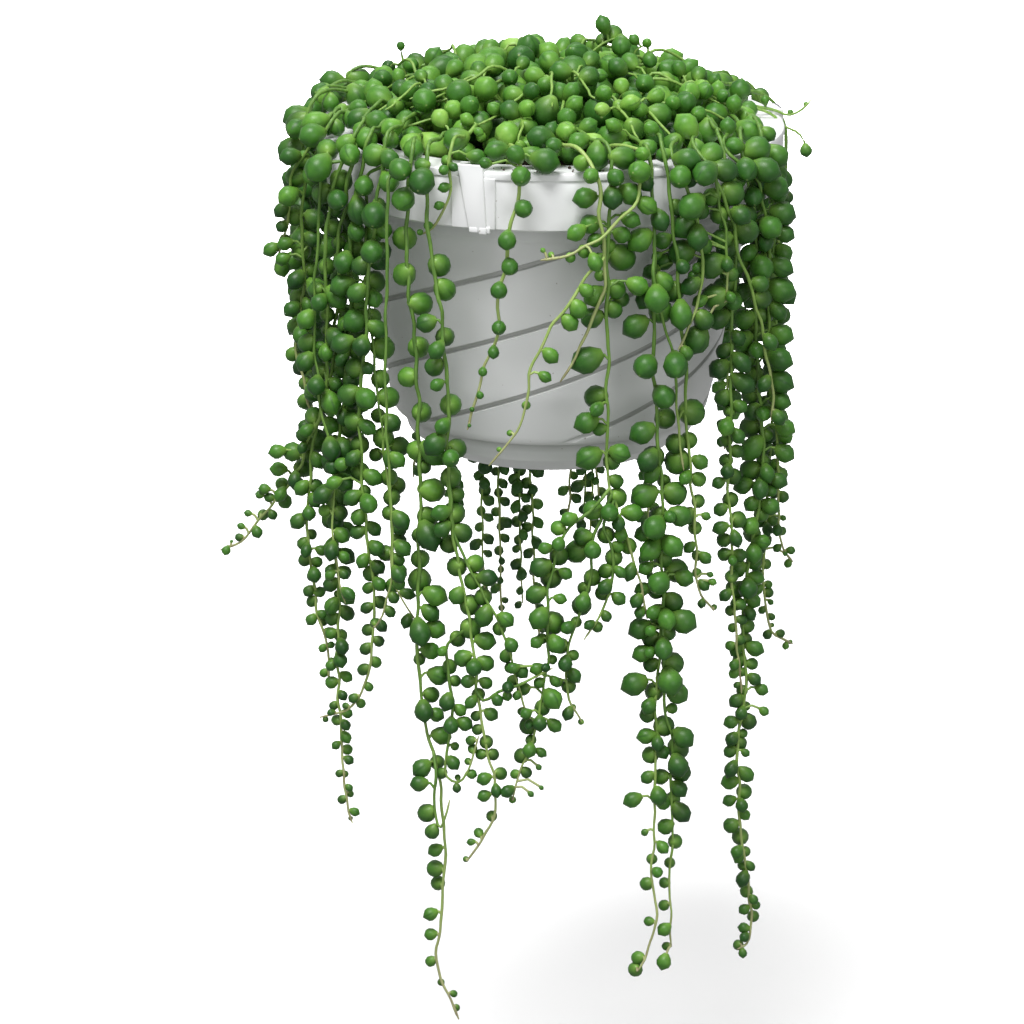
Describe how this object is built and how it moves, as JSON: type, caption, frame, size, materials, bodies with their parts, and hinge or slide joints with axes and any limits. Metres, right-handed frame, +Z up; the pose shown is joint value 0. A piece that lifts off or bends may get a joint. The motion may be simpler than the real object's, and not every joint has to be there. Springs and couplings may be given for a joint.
{
  "type": "potted string of pearls in a hanging pot",
  "caption": "Round flanged hanging pot full of a trailing succulent: thin stems strung with round leaves heap over the rim and hang far below the pot.",
  "frame": {"origin": "centre of the rim's top plane, where the pot hangs in its hanger", "axes": "+Z up along the pot's axis, -Y to the front, +X to the right seen from the front"},
  "size_m": [0.2285, 0.2073, 0.3762],
  "materials": {
    "pot_plastic": "satin moulded white plastic",
    "soil": "loose fibrous potting soil",
    "leaf": "waxy succulent leaf",
    "stem": "smooth fleshy stem"
  },
  "bodies": {
    "root": {"pot": "pot_plastic", "soil": "soil", "crown": "leaf", "strand_01": "leaf", "strand_02": "leaf", "strand_03": "leaf", "strand_04": "leaf", "strand_05": "leaf", "strand_06": "leaf", "strand_07": "leaf", "strand_08": "leaf", "strand_09": "leaf", "strand_10": "leaf", "strand_11": "leaf", "strand_12": "leaf", "strand_13": "leaf", "strand_14": "leaf", "strand_15": "leaf", "strand_16": "leaf", "strand_17": "leaf", "strand_18": "leaf", "strand_19": "leaf", "strand_20": "leaf", "strand_21": "leaf", "strand_22": "leaf", "strand_23": "leaf", "strand_24": "leaf", "strand_25": "leaf", "strand_26": "leaf", "strand_27": "leaf", "strand_28": "leaf", "strand_29": "leaf", "strand_30": "leaf", "strand_31": "leaf", "strand_32": "leaf", "strand_33": "leaf", "strand_34": "leaf", "strand_35": "leaf", "strand_36": "leaf"}
  },
  "joints": []
}
